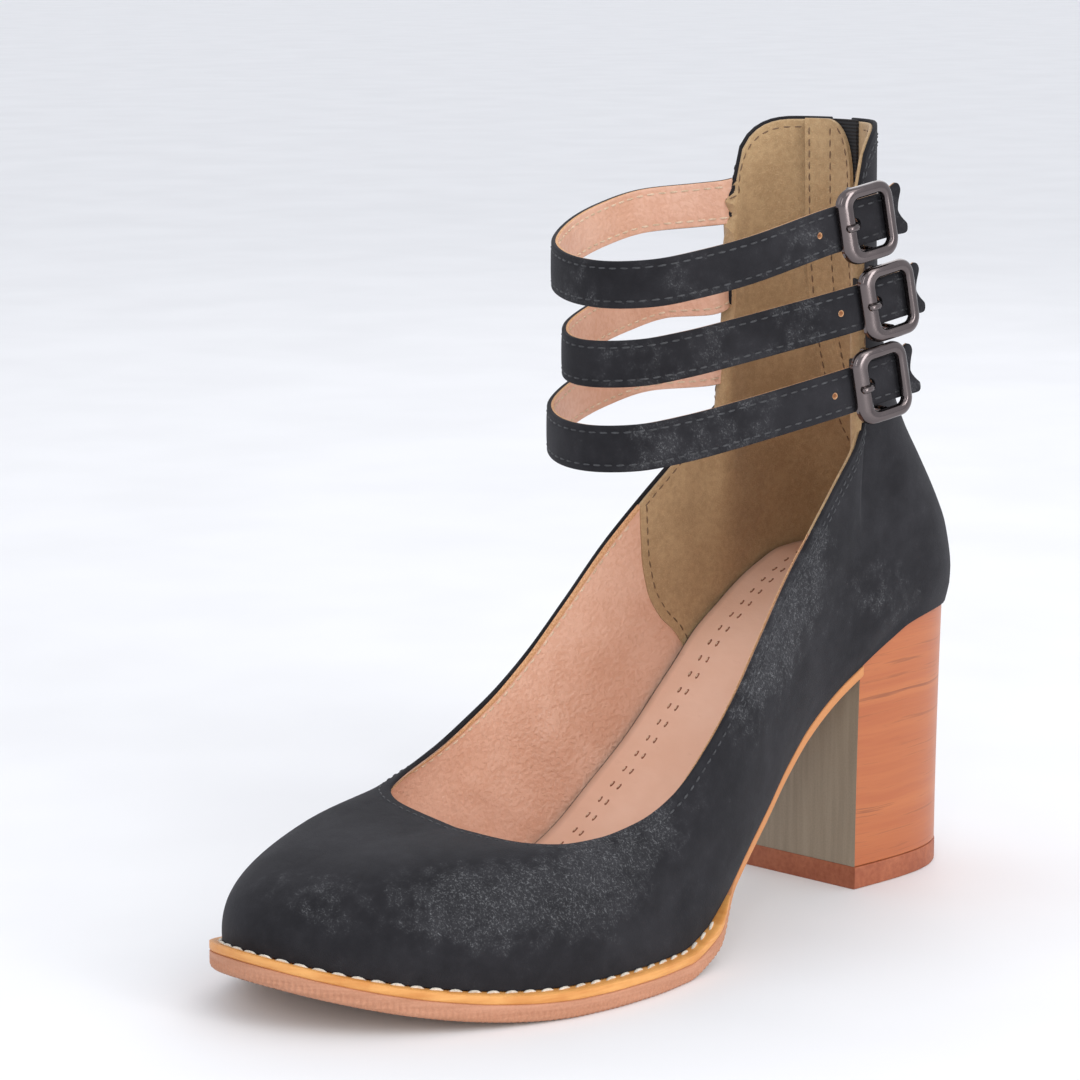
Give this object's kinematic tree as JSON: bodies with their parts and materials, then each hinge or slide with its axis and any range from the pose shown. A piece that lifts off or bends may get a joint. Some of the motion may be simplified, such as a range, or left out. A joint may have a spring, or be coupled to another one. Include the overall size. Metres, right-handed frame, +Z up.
{
  "type": "block heel ankle strap pump",
  "caption": "Left round-toe pump with a wood-look block heel, a tall back shaft with a rear zip and buckled ankle straps.",
  "frame": {"origin": "on the floor under the middle of the heel's top lift", "axes": "+X runs from the heel to the toe, +Y to the outer (buckle) side, +Z up"},
  "size_m": [0.2374, 0.0896, 0.1995],
  "materials": {
    "suede": "matt nubuck",
    "insole": "smooth",
    "welt": "waxed edge",
    "outsole": "satin edge",
    "stacked_wood": "satin grain",
    "lift": "matt",
    "gunmetal": "polished dark",
    "webbing": "ribbed",
    "guard": "matt suede"
  },
  "bodies": {
    "root": {"upper": "suede", "insole": "insole", "welt": "welt", "outsole": "outsole", "heel_block": "stacked_wood", "top_lift": "lift", "strap_top": "suede", "elastic_top": "webbing", "buckle_frame_top": "gunmetal", "buckle_prong_top": "gunmetal", "strap_middle": "suede", "elastic_middle": "webbing", "buckle_frame_middle": "gunmetal", "buckle_prong_middle": "gunmetal", "strap_lower": "suede", "elastic_lower": "webbing", "buckle_frame_lower": "gunmetal", "buckle_prong_lower": "gunmetal", "zip_tape": "webbing", "zip_guard": "guard", "zip_slider": "gunmetal"},
    "pull": {"zip_pull": "gunmetal"}
  },
  "joints": [
    {"name": "pull_swing", "type": "hinge", "parent": "root", "child": "pull", "pos_m": [0.00466, 0, 0.18533], "axis": [0, 1, 0], "range_deg": [0, 110]}
  ]
}
